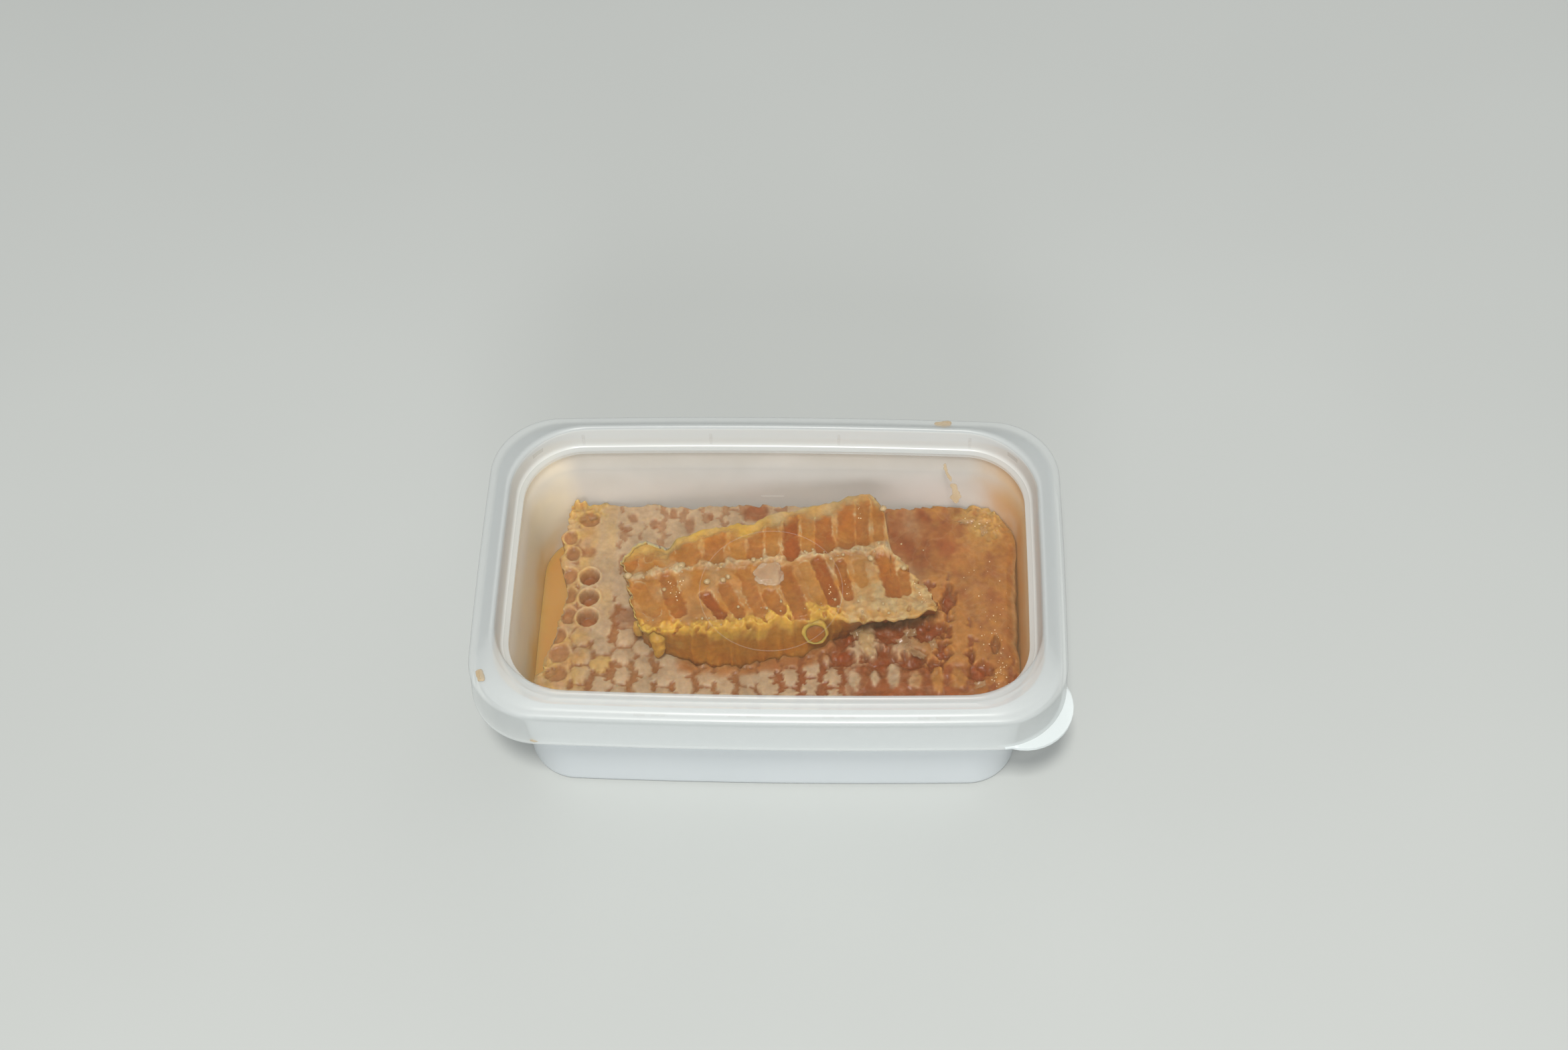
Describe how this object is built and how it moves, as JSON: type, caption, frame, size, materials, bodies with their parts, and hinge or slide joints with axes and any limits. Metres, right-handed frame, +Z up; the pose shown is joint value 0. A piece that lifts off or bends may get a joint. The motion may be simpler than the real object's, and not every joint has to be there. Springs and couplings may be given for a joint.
{
  "type": "honeycomb in a lidded tub",
  "caption": "Shut low plastic tub with a see-through snap lid, holding a slab of cut honeycomb with a smaller piece of comb on top, standing in honey.",
  "frame": {"origin": "middle of the flat underside of the tub's base", "axes": "+X along the long side towards the corner with the pull tab, +Y across towards the side away from the tab, +Z up"},
  "size_m": [0.1389, 0.0872, 0.0496],
  "materials": {
    "white_plastic": "satin white polypropylene, slightly see-through",
    "clear_plastic": "milky clear polypropylene, thin and slightly flexible",
    "honey": "clear amber honey, wet and glossy",
    "capped_comb": "cream wax cappings over amber cells",
    "cut_comb": "cut cells wet with honey, with pale wax edges"
  },
  "bodies": {
    "root": {"tub": "white_plastic", "lid": "clear_plastic", "honey": "honey", "comb_slab": "capped_comb", "comb_top": "cut_comb"}
  },
  "joints": []
}
